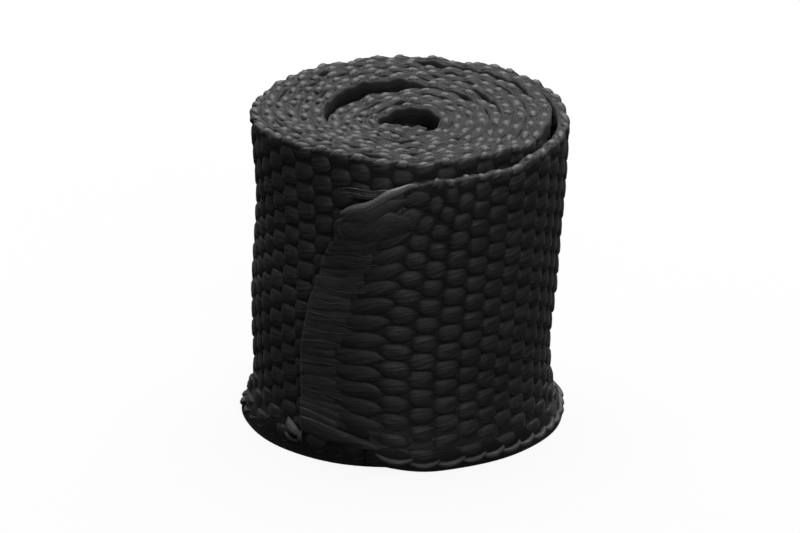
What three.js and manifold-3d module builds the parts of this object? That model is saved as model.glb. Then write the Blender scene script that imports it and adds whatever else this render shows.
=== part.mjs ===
// Exhaust heat wrap: a woven tape rolled up and standing on one end, with its frayed outer end loose.
// Millimetres, Z up. The roll stands on z = 0 and the loose end lies at the front left, toward -X -Y.
import * as THREE from "three";
import { mergeVertices } from "three/addons/utils/BufferGeometryUtils.js";
import Module from "manifold-3d";

// The tape and its spiral. A turn is counted from the loose outer end inward.
const TAPE_WIDTH = 52.5;
const TAPE_THICKNESS = 1.65;
const TURN_PITCH = 2.03;
const TURN_COUNT = 10.25;
const OUTER_RADIUS = 26.4;
const END_AZIMUTH = THREE.MathUtils.degToRad(230);

// The loose tail: where it leaves the roll, how far its edges droop and lift, and how its end is cut.
const TAIL_TURNS = 0.45;
const TAIL_DROOP = 4.5;
const DROOP_TURNS = 0.12;
const TAIL_STAND_OFF = 1.1;
const STAND_OFF_TURNS = 0.32;
const END_TURNS = 0.1;
const END_LIFT = 3.9;
const LIFT_TURNS = 0.15;
const END_DROP = 5;
const END_SLANT = THREE.MathUtils.degToRad(20);
const SLANT_SHARE = 0.35;
const END_THICKNESS = 0.7;

// The top: higher at the back than at the sides, dipped at the front right under the tail, with an inner
// group of turns pushed down.
const TOP_SADDLE = 0.4;
const TOP_WAVE = 0.3;
const WAVES_PER_TURN = 0.7;
const WAVE_START = 1;
const FRONT_DIP = 1.5;
const DIP_TURN = 1.04;
const DIP_TURNS = 0.24;
const DIP_FADE = 0.07;
const INNER_GROUP_TURN = 5.6;
const INNER_GROUP_FADE = 0.3;
const INNER_GROUP_DROP = 1.7;
const INNER_GROUP_SHIFT = 0.5;
const INNER_GROUP_AZIMUTH = THREE.MathUtils.degToRad(135);

// The bore is a lens: longer along one direction, and round again some turns out.
const LENS_HALF_SPREAD = 0.65;
const LENS_AZIMUTH = THREE.MathUtils.degToRad(17);
const LENS_FADE = 7;

// The side wall flares at the foot, is drawn in above it and swells again, and it sways left and right.
const FOOT_FLARE = 0.9;
const FOOT_SWAY = 0.6;
const ANKLE_HEIGHT = 3.1;
const ANKLE_DEPTH = 0.05;
const ANKLE_SWAY = 0.85;
const WAIST_HEIGHT = 7;
const WAIST_DEPTH = 1.15;
const WAIST_SWAY = 0.5;
const BELLY_HEIGHT = 14;
const BELLY_DEPTH = 1.1;
const BELLY_SWAY = 0.8;
const CHEST_HEIGHT = 22;
const CHEST_DEPTH = 0.45;
const CHEST_SWAY = 0.4;
const SHOULDER_HEIGHT = 38;
const SHOULDER_DEPTH = 0.75;
const SHOULDER_SWAY = -0.35;

// The turns are one body between these heights. Above and below it, grooves show the spiral.
const BODY_LOW = 2.2;
const BODY_HIGH = 48;
const EDGE_ROUND = 0.35;
const LEAN_SHARE = 0.4;

// The wall's corners from the foot to the upper edge.
const WALL = [
  { share: 0, depth: -FOOT_FLARE, sway: FOOT_SWAY },
  { share: ANKLE_HEIGHT / TAPE_WIDTH, depth: ANKLE_DEPTH, sway: ANKLE_SWAY },
  { share: WAIST_HEIGHT / TAPE_WIDTH, depth: WAIST_DEPTH, sway: WAIST_SWAY },
  { share: BELLY_HEIGHT / TAPE_WIDTH, depth: BELLY_DEPTH, sway: BELLY_SWAY },
  { share: CHEST_HEIGHT / TAPE_WIDTH, depth: CHEST_DEPTH, sway: CHEST_SWAY },
  { share: SHOULDER_HEIGHT / TAPE_WIDTH, depth: SHOULDER_DEPTH, sway: SHOULDER_SWAY },
  { share: 1, depth: 0, sway: 0 },
];
const RIM_SECTIONS = 32;
const BODY_SECTIONS = 24;

const full = Math.PI * 2;
const smooth = (value, from, to) => THREE.MathUtils.smoothstep(value, from, to);

// How far a turn belongs to the inner group, from 0 to 1.
const inInnerGroup = (turn) => smooth(turn, INNER_GROUP_TURN - INNER_GROUP_FADE, INNER_GROUP_TURN + INNER_GROUP_FADE);

// How far a turn is dipped at the front right, from 0 to 1. The outermost turn has its own droop.
function inFrontDip(turn) {
  const place = turn % 1;
  const begin = DIP_TURN - Math.floor(DIP_TURN);
  const rise = smooth(place, begin, begin + DIP_FADE);
  const fall = 1 - smooth(place, begin + DIP_TURNS, begin + DIP_TURNS + DIP_FADE);
  return turn < DIP_TURN ? 0 : rise * fall;
}

// Azimuth of the tape's section at a turn. The end is cut on a slant, further round at the top.
function azimuthAt(turn, share) {
  const slant = END_SLANT * smooth(share, SLANT_SHARE, 1) * (1 - smooth(turn, 0, 2 * END_TURNS));
  return END_AZIMUTH + full * turn + slant;
}

// Height of the tape's lower edge.
function lowerEdge(turn) {
  return END_LIFT * (1 - smooth(turn, 0, LIFT_TURNS));
}

// Height of the tape's upper edge.
function upperEdge(turn) {
  const azimuth = azimuthAt(turn, 0);
  const saddle = -TOP_SADDLE * Math.cos(2 * azimuth);
  const wave = TOP_WAVE * Math.sin(WAVES_PER_TURN * full * turn + WAVE_START);
  const droop = TAIL_DROOP * (1 - smooth(turn, DROOP_TURNS, TAIL_TURNS));
  const end = END_DROP * (1 - smooth(turn, 0, END_TURNS));
  const dip = FRONT_DIP * inFrontDip(turn);
  return TAPE_WIDTH + saddle + wave - droop - end - dip - INNER_GROUP_DROP * inInnerGroup(turn);
}

// A value of the wall's corners, such as their depth, at a share of the height between them.
function onWall(share, key) {
  const next = Math.max(WALL.findIndex((corner) => corner.share >= share), 1);
  const above = WALL[next];
  const below = WALL[next - 1];
  const along = (share - below.share) / (above.share - below.share);
  return THREE.MathUtils.lerp(below[key], above[key], along);
}

// Thickness of the tape at a turn. Its frayed end is combed thin.
function thicknessAt(turn) {
  return THREE.MathUtils.lerp(END_THICKNESS, TAPE_THICKNESS, smooth(turn, 0, END_TURNS));
}

// A point of the tape. Side is 1 on the outer face, 0 in the middle and -1 on the inner face.
function tapePoint(turn, share, side, inset) {
  const azimuth = azimuthAt(turn, share);
  const middle = OUTER_RADIUS - TURN_PITCH * turn - TAPE_THICKNESS / 2;
  const bore = OUTER_RADIUS - TURN_PITCH * TURN_COUNT;
  const lens = LENS_HALF_SPREAD * Math.exp(-(middle - bore) / LENS_FADE)
    * Math.cos(2 * (azimuth - LENS_AZIMUTH));
  const standing = TAIL_STAND_OFF * smooth(share, LEAN_SHARE, 1)
    * smooth(turn, END_TURNS, 2 * END_TURNS) * (1 - smooth(turn, STAND_OFF_TURNS, TAIL_TURNS));
  const wall = onWall(share, "depth") * (middle / OUTER_RADIUS) ** 2;
  const squeeze = INNER_GROUP_SHIFT * inInnerGroup(turn);
  const radius = middle + side * thicknessAt(turn) / 2 + lens + standing - wall - squeeze;
  const low = lowerEdge(turn);
  const high = upperEdge(turn);
  const z = THREE.MathUtils.lerp(low, high, share) + inset;
  const sway = onWall(share, "sway");
  const x = radius * Math.cos(azimuth) - squeeze * Math.cos(INNER_GROUP_AZIMUTH) - sway;
  const y = radius * Math.sin(azimuth) - squeeze * Math.sin(INNER_GROUP_AZIMUTH);
  return new THREE.Vector3(x, y, z);
}

// Joins rings of points into a closed skin. Open sweeps get a cap at each end.
function skin(rings, closed) {
  const count = rings[0].length;
  const positions = rings.flat().flatMap((point) => point.toArray());
  const faces = [];
  const bands = closed ? rings.length : rings.length - 1;
  for (let band = 0; band < bands; band += 1) {
    const here = band * count;
    const there = ((band + 1) % rings.length) * count;
    for (let i = 0; i < count; i += 1) {
      const j = (i + 1) % count;
      faces.push(here + i, there + i, there + j);
      faces.push(here + i, there + j, here + j);
    }
  }
  if (!closed) {
    const last = (rings.length - 1) * count;
    for (let i = 1; i < count / 2; i += 1) {
      const a = i - 1;
      const b = count - i;
      faces.push(a, i, b % count);
      faces.push(last + a, last + (b % count), last + i);
      if (i < count - i - 1) {
        faces.push(i, b - 1, b % count);
        faces.push(last + i, last + (b % count), last + b - 1);
      }
    }
  }
  return { positions, faces };
}

// One section of the tape: up its outer face, over the rounded upper edge and down its inner face.
function tapeSection(turn) {
  const outer = WALL.map(({ share }) => tapePoint(turn, share, 1, share === 1 ? -EDGE_ROUND : 0));
  const inner = WALL.map(({ share }) => tapePoint(turn, share, -1, share === 1 ? -EDGE_ROUND : 0));
  return [...outer, tapePoint(turn, 1, 0, 0), ...inner.reverse()];
}

// Turns at which the tape gets a section: closer together near the rim, where a turn is longer.
function sectionTurns() {
  const turns = [0];
  while (turns.at(-1) < TURN_COUNT) {
    const turn = turns.at(-1);
    const radius = OUTER_RADIUS - TURN_PITCH * turn;
    turns.push(turn + Math.sqrt(OUTER_RADIUS / radius) / RIM_SECTIONS);
  }
  turns[turns.length - 1] = TURN_COUNT;
  return turns;
}

// The whole tape as one swept body.
function tapeSkin() {
  return skin(sectionTurns().map(tapeSection), false);
}

// A point in the middle of the tape's thickness at a height.
function middlePoint(turn, z) {
  const share = (z - lowerEdge(turn)) / (upperEdge(turn) - lowerEdge(turn));
  return tapePoint(turn, share, 0, 0);
}

// The body that joins the turns: from the middle of the outermost closed turn to that of the innermost.
function bodySkin() {
  const between = WALL.map(({ share }) => share * TAPE_WIDTH).filter((z) => z > BODY_LOW && z < BODY_HIGH);
  const heights = [BODY_LOW, ...between, BODY_HIGH];
  const inward = Math.floor(TURN_COUNT - TAIL_TURNS - 1);
  const rings = [];
  for (let i = 0; i < BODY_SECTIONS; i += 1) {
    const turn = TAIL_TURNS + i / BODY_SECTIONS;
    const outer = heights.map((z) => middlePoint(turn, z));
    const inner = heights.map((z) => middlePoint(turn + inward, z));
    rings.push([...outer, ...inner.reverse()]);
  }
  return skin(rings, true);
}

// A solid for joining and cutting.
function solidOf(wasm, { positions, faces }) {
  const mesh = new wasm.Mesh({
    numProp: 3,
    vertProperties: new Float32Array(positions),
    triVerts: new Uint32Array(faces),
  });
  mesh.merge();
  return new wasm.Manifold(mesh);
}

// A three.js geometry from a solid, standing on z = 0 with its bounding box centred on the Z axis.
function geometryOf(solid) {
  const mesh = solid.getMesh();
  const loose = new THREE.BufferGeometry();
  loose.setAttribute("position", new THREE.BufferAttribute(new Float32Array(mesh.vertProperties), 3));
  loose.setIndex(new THREE.BufferAttribute(new Uint32Array(mesh.triVerts), 1));
  const geometry = mergeVertices(loose, 1e-4);
  geometry.computeBoundingBox();
  const middle = geometry.boundingBox.getCenter(new THREE.Vector3());
  geometry.translate(-middle.x, -middle.y, -geometry.boundingBox.min.z);
  geometry.computeVertexNormals();
  return geometry;
}

// Black woven fibreglass.
function wrapMaterial() {
  return new THREE.MeshStandardMaterial({ color: 0x2b2b2c, roughness: 0.8, metalness: 0, flatShading: true });
}

const wasm = await Module();
wasm.setup();
const roll = solidOf(wasm, tapeSkin()).add(solidOf(wasm, bodySkin()));

const heatWrapRoll = new THREE.Mesh(geometryOf(roll), wrapMaterial());
heatWrapRoll.name = "heat_wrap_roll";

const heatWrap = new THREE.Group();
heatWrap.name = "exhaust_heat_wrap";
heatWrap.add(heatWrapRoll);

export default heatWrap;
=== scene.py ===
"""Exhaust heat wrap: one black woven tape, rolled up and standing on its end, with a frayed outer end.

Lengths in the classes are millimetres, and meshes are made in metres. A turn counts from the tape's
outer end inward, a share runs up the tape's width from 0 to 1, and out is the distance from the tape's
middle towards the outside of the roll.
"""

import logging
import math
from dataclasses import dataclass, field
from enum import Enum
from functools import cached_property

import bpy
import numpy as np
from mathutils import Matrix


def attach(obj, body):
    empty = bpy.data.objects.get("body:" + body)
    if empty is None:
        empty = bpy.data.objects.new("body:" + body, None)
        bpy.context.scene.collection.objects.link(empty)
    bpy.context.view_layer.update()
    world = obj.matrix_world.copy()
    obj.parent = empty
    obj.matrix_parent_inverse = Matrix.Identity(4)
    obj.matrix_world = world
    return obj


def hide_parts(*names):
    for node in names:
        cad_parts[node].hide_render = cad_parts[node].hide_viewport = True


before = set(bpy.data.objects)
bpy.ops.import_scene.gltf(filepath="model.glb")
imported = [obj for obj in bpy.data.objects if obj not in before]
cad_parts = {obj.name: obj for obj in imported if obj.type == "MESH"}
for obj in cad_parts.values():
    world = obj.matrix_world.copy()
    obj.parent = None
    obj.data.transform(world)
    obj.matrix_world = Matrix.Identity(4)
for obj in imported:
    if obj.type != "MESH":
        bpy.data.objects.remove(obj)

LOG = logging.getLogger("heat_wrap")
NODE = "heat_wrap_roll"
BODY = "root"
MILLIMETRE = 0.001
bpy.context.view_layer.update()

Array = np.ndarray
Place = tuple[float, float, float]
Value = bpy.types.NodeSocket | float | tuple[float, ...]


def smooth(value: Array, low: float, high: float) -> Array:
    """Smooth step from 0 at low to 1 at high."""
    x = np.clip((np.asarray(value, float) - low) / (high - low), 0.0, 1.0)
    return x * x * (3.0 - 2.0 * x)


def ripple(along: Array, waves: tuple[float, ...], size: float, seed: int) -> Array:
    """An irregular wave made of a few plain ones.

    Args:
        along: Places along the tape, in millimetres.
        waves: The lengths of the plain waves, in millimetres.
        size: About how far the sum swings to each side.
        seed: Picks the starting points of the waves.

    Returns:
        The height of the sum at each place.
    """
    start = np.random.default_rng(seed).uniform(0.0, 2.0 * math.pi, len(waves))
    parts = [np.sin(2.0 * math.pi * along / wave + shift) for wave, shift in zip(waves, start)]
    return size * sum(parts) / math.sqrt(len(waves))


def around(sides: int) -> Array:
    """Angles of the points in a ring."""
    return np.arange(sides) * 2.0 * math.pi / sides


@dataclass(frozen=True)
class RollShape:
    """Where the tape runs. Only the foot, the rims' dips and the inner drop differ from the solid's.

    Attributes:
        width: Height of the standing tape.
        thickness: Thickness of the plain tape.
        turn_pitch: Radial step from one turn to the next.
        turn_count: Turns from the outer end to the inner one.
        outer_radius: Outer face of the tape at its outer end.
        end_azimuth: Where the outer end lies, in degrees.
        tail_turns: Turns over which the tail droops and stands off.
        end_lift: How far the outer end's lower corner is lifted.
        end_drop: How far its upper corner has dropped.
        end_slant: How far its cut runs round the roll, in degrees.
        front_dip: How far the rims are pushed down at the front right.
        inner_group_turn: The turn from which the inner turns are pushed down and aside.
        inner_group_azimuth: The way they are pushed away from, in degrees.
        lens_half_spread: How far the bore is from round.
        wall_heights: Heights at which the side wall's shape is given.
        wall_depths: How far it is drawn in there.
        wall_sways: How far the roll leans aside there.
        edge_ripple: How uneven the upper edge is, in waves as long as edge_waves says.
        face_ripple: How uneven the faces are, in waves as long as face_waves says.
    """

    width: float = 52.5
    thickness: float = 1.65
    turn_pitch: float = 2.03
    turn_count: float = 10.25
    outer_radius: float = 26.4
    end_azimuth: float = 230.0
    tail_turns: float = 0.45
    tail_droop: float = 4.5
    droop_turns: float = 0.12
    tail_stand_off: float = 1.1
    stand_off_turns: float = 0.32
    end_turns: float = 0.1
    end_lift: float = 3.9
    lift_turns: float = 0.15
    end_drop: float = 5.0
    end_slant: float = 20.0
    slant_share: float = 0.35
    top_saddle: float = 0.4
    top_wave: float = 0.3
    waves_per_turn: float = 0.7
    wave_start: float = 1.0
    front_dip: float = 1.5
    inner_front_dip: float = 0.75
    dip_turn: float = 1.04
    dip_turns: float = 0.24
    dip_fade: float = 0.07
    inner_group_turn: float = 6.15
    inner_group_fade: float = 0.3
    inner_group_drop: float = 1.7
    inner_group_shift: float = 0.5
    inner_group_azimuth: float = 135.0
    lens_half_spread: float = 0.65
    lens_azimuth: float = 17.0
    lens_fade: float = 7.0
    wall_heights: tuple[float, ...] = (0.0, 3.1, 7.0, 14.0, 22.0, 38.0, 52.5)
    wall_depths: tuple[float, ...] = (-1.6, 0.05, 1.15, 1.1, 0.45, 0.75, 0.0)
    wall_sways: tuple[float, ...] = (0.6, 0.85, 0.5, 0.8, 0.4, -0.35, 0.0)
    edge_ripple: float = 0.25
    edge_waves: tuple[float, ...] = (6.1, 9.7, 17.3, 39.0)
    face_ripple: float = 0.1
    face_waves: tuple[float, ...] = (14.0, 23.0, 37.0)
    floor_gap: float = 0.02

    def azimuth(self, turn: Array, share: Array) -> Array:
        """Angle about the roll's axis. The outer end's slanted cut shifts it there."""
        near = 1.0 - smooth(turn, 0.0, 2.0 * self.end_turns)
        slant = self.end_slant * smooth(share, self.slant_share, 1.0) * near
        return np.radians(self.end_azimuth + 360.0 * turn + slant)

    def inner_group(self, turn: Array) -> Array:
        """How far a turn belongs to the inner turns, from 0 to 1."""
        fade = self.inner_group_fade
        return smooth(turn, self.inner_group_turn - fade, self.inner_group_turn + fade)

    def inner_drop(self, turn: Array) -> Array:
        """How far the upper edge has dropped: at once at the back left, and bit by bit elsewhere."""
        beside = np.cos(self.azimuth(turn, 0.0) - self.inner_group_azimuth * math.pi / 180.0)
        sharp = smooth(beside, 0.35, 0.85)
        slow = smooth(turn, 1.2, 8.5)
        return sharp * self.inner_group(turn) + (1.0 - sharp) * slow

    def in_front_dip(self, turn: Array) -> Array:
        """How far a turn is dipped at the front right. The outermost turn has its own droop."""
        place = np.mod(turn, 1.0)
        begin = self.dip_turn - math.floor(self.dip_turn)
        rise = smooth(place, begin, begin + self.dip_fade)
        fall = 1.0 - smooth(place, begin + self.dip_turns, begin + self.dip_turns + self.dip_fade)
        return np.where(np.asarray(turn) < self.dip_turn, 0.0, rise * fall)

    def low(self, turn: Array) -> Array:
        """Height of the tape's lower edge."""
        return self.end_lift * (1.0 - smooth(turn, 0.0, self.lift_turns))

    def high(self, turn: Array) -> Array:
        """Height of the tape's upper edge."""
        saddle = -self.top_saddle * np.cos(2.0 * self.azimuth(turn, 0.0))
        wave = self.top_wave * np.sin(self.waves_per_turn * 2.0 * math.pi * turn + self.wave_start)
        wave = wave * (1.0 - 0.7 * smooth(turn, 1.3, 2.3))
        droop = self.tail_droop * (1.0 - smooth(turn, self.droop_turns, self.tail_turns))
        end = self.end_drop * (1.0 - smooth(turn, 0.0, self.end_turns))
        inner = self.inner_group(turn)
        dip = (self.front_dip + (self.inner_front_dip - self.front_dip) * inner) * self.in_front_dip(turn)
        drop = self.inner_group_drop * self.inner_drop(turn)
        return self.width + saddle + wave - droop - end - dip - drop

    def on_wall(self, share: Array, values: tuple[float, ...]) -> Array:
        """A value of the side wall, such as its depth, at a share of the height, with rounded corners."""
        shares = np.array(self.wall_heights) / self.width
        near = [np.interp(share + step, shares, values) for step in (-0.035, 0.0, 0.035)]
        return (near[0] + 2.0 * near[1] + near[2]) / 4.0

    def raw_point(self, turn: Array, share: Array, out: Array, up: Array) -> Array:
        """A point of the tape before the roll is centred.

        Args:
            turn: Turns from the outer end.
            share: Share of the tape's width from its lower edge.
            out: Distance from the tape's middle towards the outside of the roll.
            up: Height above the place that the share gives.

        Returns:
            The points, with x, y and z in the last axis.
        """
        turn, share, out, up = np.broadcast_arrays(turn, share, out, up)
        azimuth = self.azimuth(turn, share)
        middle = self.outer_radius - self.turn_pitch * turn - self.thickness / 2.0
        bore = self.outer_radius - self.turn_pitch * self.turn_count
        lens = self.lens_half_spread * np.exp(-(middle - bore) / self.lens_fade)
        lens = lens * np.cos(2.0 * (azimuth - math.radians(self.lens_azimuth)))
        loose = smooth(turn, self.end_turns, 2.0 * self.end_turns)
        loose = loose * (1.0 - smooth(turn, self.stand_off_turns, self.tail_turns))
        standing = self.tail_stand_off * smooth(share, 0.4, 1.0) * loose
        wall = self.on_wall(share, self.wall_depths) * (middle / self.outer_radius) ** 2
        squeeze = self.inner_group_shift * self.inner_group(turn)
        radius = middle + out + lens + standing - wall - squeeze
        low, high = self.low(turn), self.high(turn)
        z = low + (high - low) * share + up
        away = math.radians(self.inner_group_azimuth)
        x = radius * np.cos(azimuth) - squeeze * math.cos(away) - self.on_wall(share, self.wall_sways)
        y = radius * np.sin(azimuth) - squeeze * math.sin(away)
        return np.stack([x, y, z], -1)

    @cached_property
    def centre(self) -> Array:
        """Middle of the plain tape's box, seen from above, which the frame puts on its origin."""
        turns, shares = np.linspace(0.0, 2.0, 1441), np.linspace(0.0, 1.0, 61)
        turn, share, side = np.meshgrid(turns, shares, (-0.5, 0.5), indexing="ij")
        points = self.raw_point(turn, share, side * self.thickness, 0.0).reshape(-1, 3)
        middle = (points.min(0) + points.max(0)) / 2.0
        return np.array([middle[0], middle[1], 0.0])

    def point(self, turn: Array, share: Array, out: Array, up: Array = 0.0) -> Array:
        """A point of the real, slightly uneven tape in the frame, in millimetres."""
        turn = np.asarray(turn, float)
        along = self.length_at(turn)
        edge = ripple(along, self.edge_waves, self.edge_ripple, 3) * smooth(share, 0.5, 1.0)
        face = ripple(along + 11.0 * np.asarray(share), self.face_waves, self.face_ripple, 4)
        points = self.raw_point(turn, share, out + face, up + edge) - self.centre
        points[..., 2] = np.maximum(points[..., 2], self.floor_gap)
        return points

    @cached_property
    def _lengths(self) -> tuple[Array, Array]:
        """Turns, and the tape's length from its outer end to each."""
        turns = np.linspace(-0.05, self.turn_count, 6000)
        line = self.raw_point(turns, 0.5, 0.0, 0.0)
        steps = np.linalg.norm(np.diff(line, axis=0), axis=1)
        lengths = np.concatenate([[0.0], np.cumsum(steps)])
        return turns, lengths - np.interp(0.0, turns, lengths)

    def length_at(self, turn: Array) -> Array:
        """Length of tape from its outer end to a turn."""
        turns, lengths = self._lengths
        return np.interp(turn, turns, lengths)

    def turn_at(self, length: Array) -> Array:
        """The turn at a length of tape from its outer end."""
        turns, lengths = self._lengths
        return np.interp(length, lengths, turns)

    @property
    def length(self) -> float:
        """Length of the whole tape."""
        return float(self._lengths[1][-1])


class Skin:
    """Collects closed tubes of points and turns them into one mesh."""

    def __init__(self) -> None:
        """Starts with no tube."""
        self.points: list[Array] = []
        self.loops: list[Array] = []
        self.sizes: list[Array] = []
        self.places: list[Array] = []
        self.unshaded_shares: list[Array] = []
        self.tones: list[Array] = []
        self.count = 0

    def add_tubes(
        self, rings: Array, run: Array, girth: float, unshaded: Array, tone: Array
    ) -> None:
        """Adds tubes that all have the same number of rings and sides, each with a cap at both ends.

        Args:
            rings: Points as tube, ring, side and coordinate, in millimetres.
            run: Length along each tube at each of its rings, in millimetres.
            girth: Way round a tube, in millimetres.
            unshaded: Painted shade at each point, from 0 for full painted shade deep in the cloth to 1
                for none on top of a yarn.
            tone: How light the fibres are, from 0 to 1, at each point, with any painted highlight that a
                caller adds.
        """
        tubes, length, sides, _ = rings.shape
        unshaded, tone = (np.broadcast_to(value, rings.shape[:3]) for value in (unshaded, tone))
        if self._volume(rings) < 0.0:
            rings, unshaded, tone = rings[:, :, ::-1], unshaded[:, :, ::-1], tone[:, :, ::-1]
        here = np.arange(sides)
        there = (here + 1) % sides
        ring = np.arange(length - 1)[:, None] * sides
        quads = np.stack([ring + here, ring + there, ring + sides + there, ring + sides + here], -1)
        quads = quads.reshape(-1, 4)
        starts = self.count + np.arange(tubes) * length * sides
        loops = (starts[:, None, None] + quads).reshape(-1)
        across = np.stack([here, here + 1, here + 1, here], -1) / sides * girth
        chance = np.random.default_rng(tubes * 7 + length).uniform(0.0, 40.0, tubes)
        u0, u1 = run[:, :-1, None], run[:, 1:, None]
        u = np.stack([u0 + 0 * here, u0 + 0 * here, u1 + 0 * here, u1 + 0 * here], -1)
        v = np.broadcast_to(across, u.shape) + chance[:, None, None, None]
        self.points.append(rings.reshape(-1, 3))
        self.loops.append(loops)
        self.sizes.append(np.full(len(loops) // 4, 4))
        self.places.append(np.stack([u, v], -1).reshape(-1, 2) / 10.0)
        self.unshaded_shares.append(unshaded.reshape(-1))
        self.tones.append(tone.reshape(-1))
        first = starts[:, None]
        caps = np.concatenate([first + here[::-1], first + (length - 1) * sides + here], 0)
        self.loops.append(caps.reshape(-1))
        self.sizes.append(np.full(len(caps), sides))
        flat = np.stack([np.cos(around(sides)), np.sin(around(sides))], -1) * 0.03
        self.places.append(np.tile(flat, (len(caps), 1)))
        self.count += tubes * length * sides

    @staticmethod
    def _volume(rings: Array) -> float:
        """Signed measure that is positive where the sides run anticlockwise about the way along."""
        first, second = rings[:, :-1], rings[:, 1:]
        along = second.mean(2) - first.mean(2)
        arm = first - first.mean(2, keepdims=True)
        turning = np.cross(arm, np.roll(arm, -1, 2)).sum(2)
        return float((turning * along).sum())

    def mesh(self, name: str) -> bpy.types.Mesh:
        """Makes the mesh, in metres, with its map and its two values."""
        points = np.concatenate(self.points) * MILLIMETRE
        loops = np.concatenate(self.loops).astype(np.int32)
        sizes = np.concatenate(self.sizes).astype(np.int32)
        mesh = bpy.data.meshes.new(name)
        mesh.vertices.add(len(points))
        mesh.vertices.foreach_set("co", points.astype(np.float32).reshape(-1))
        mesh.loops.add(len(loops))
        mesh.loops.foreach_set("vertex_index", loops)
        mesh.polygons.add(len(sizes))
        begins = np.concatenate([[0], np.cumsum(sizes)[:-1]])
        mesh.polygons.foreach_set("loop_start", begins.astype(np.int32))
        mesh.update(calc_edges=True)
        mesh.polygons.foreach_set("use_smooth", np.ones(len(sizes), bool))
        layer = mesh.uv_layers.new(name="yarn")
        layer.uv.foreach_set("vector", np.concatenate(self.places).astype(np.float32).reshape(-1))
        for label, values in (("unshaded", self.unshaded_shares), ("tone", self.tones)):
            store = mesh.attributes.new(label, "FLOAT", "POINT")
            store.data.foreach_set("value", np.concatenate(values).astype(np.float32))
        mesh.validate()
        return mesh


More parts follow.
